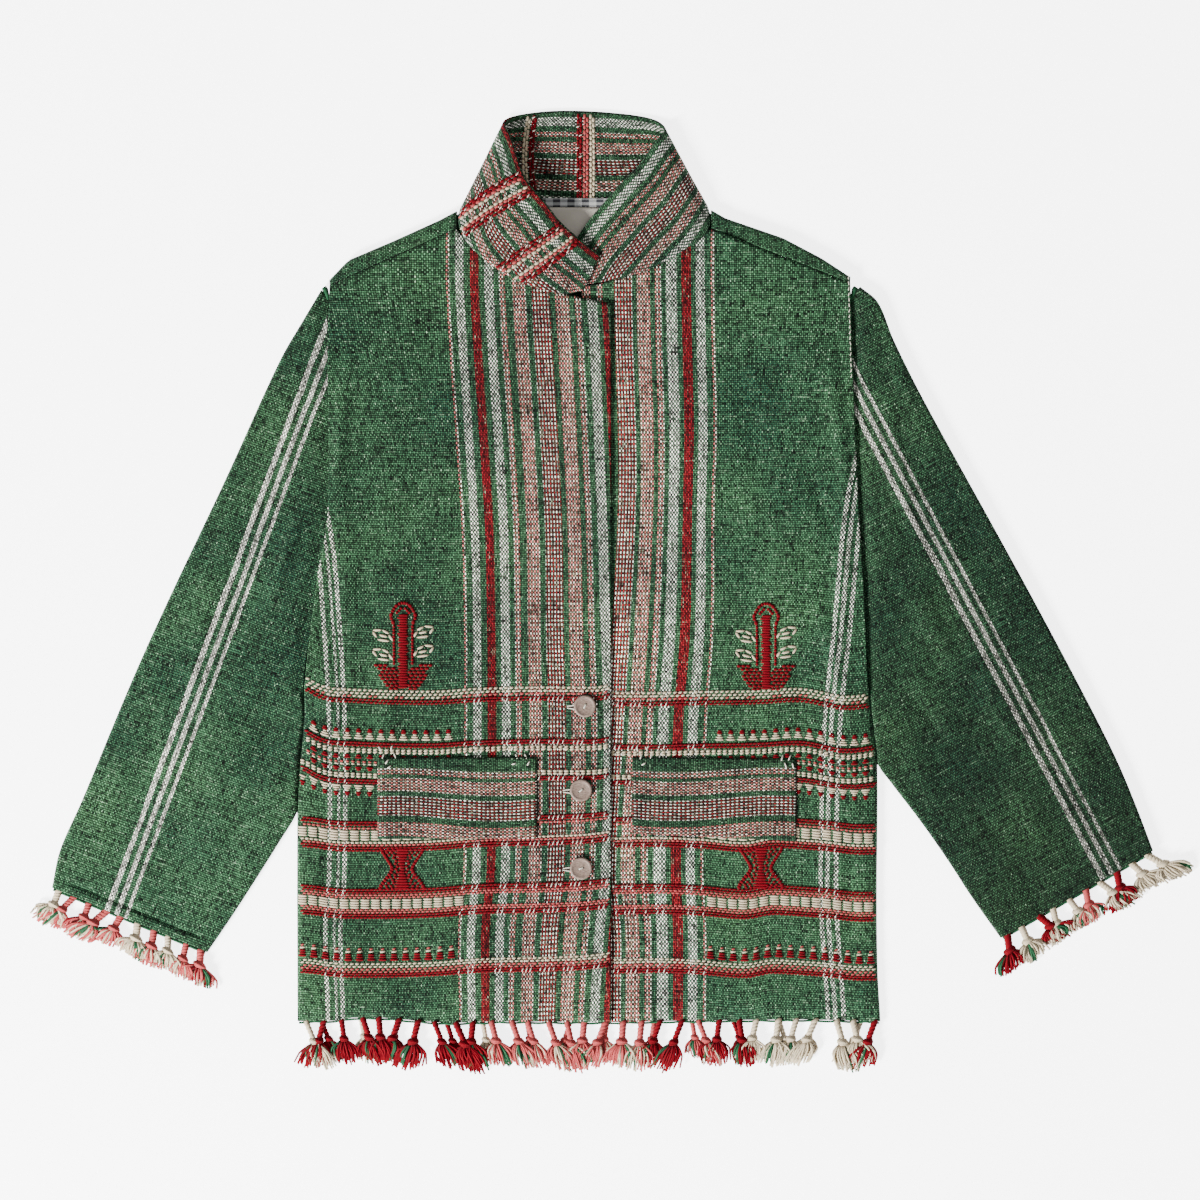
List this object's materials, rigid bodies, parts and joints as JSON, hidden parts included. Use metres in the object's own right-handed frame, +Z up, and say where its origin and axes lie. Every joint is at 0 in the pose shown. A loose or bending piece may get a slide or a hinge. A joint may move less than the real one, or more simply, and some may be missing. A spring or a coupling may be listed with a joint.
{
  "type": "wool jacket",
  "caption": "Handwoven striped wool jacket laid flat, with stand collar, flap pockets, buttons and knotted tassel fringes at hem and cuffs.",
  "frame": {"origin": "middle of the laid jacket's box, on the surface it lies on", "axes": "+X to the viewer's right across the jacket, +Y from the hem towards the collar, +Z up off the table, out of the fronts"},
  "size_m": [1.0347, 0.8671, 0.0159],
  "materials": {
    "green_wool": "matte handwoven wool, green with checked warp stripes in white, pink and red",
    "flap_wool": "the same striped wool, its stripes running across",
    "tassel_red": "matte wool yarn, red with some green",
    "tassel_pink": "matte wool yarn, salmon pink",
    "tassel_cream": "matte wool yarn, cream",
    "button": "dull grey-brown horn or shell",
    "neck_tape": "small black and white check, cotton",
    "label": "plain cream cotton"
  },
  "bodies": {
    "root": {"back": "green_wool", "front_left": "green_wool", "front_right": "green_wool", "sleeve_left": "green_wool", "sleeve_right": "green_wool", "collar": "green_wool", "pocket_flap_left": "flap_wool", "pocket_flap_right": "flap_wool", "button_1": "button", "button_2": "button", "button_3": "button", "neck_tape": "neck_tape", "neck_label": "label", "fringe_hem_left": "tassel_red", "fringe_hem_right": "tassel_cream", "fringe_hem_back": "tassel_cream", "fringe_cuff_left": "tassel_pink", "fringe_cuff_right": "tassel_cream"}
  },
  "joints": []
}
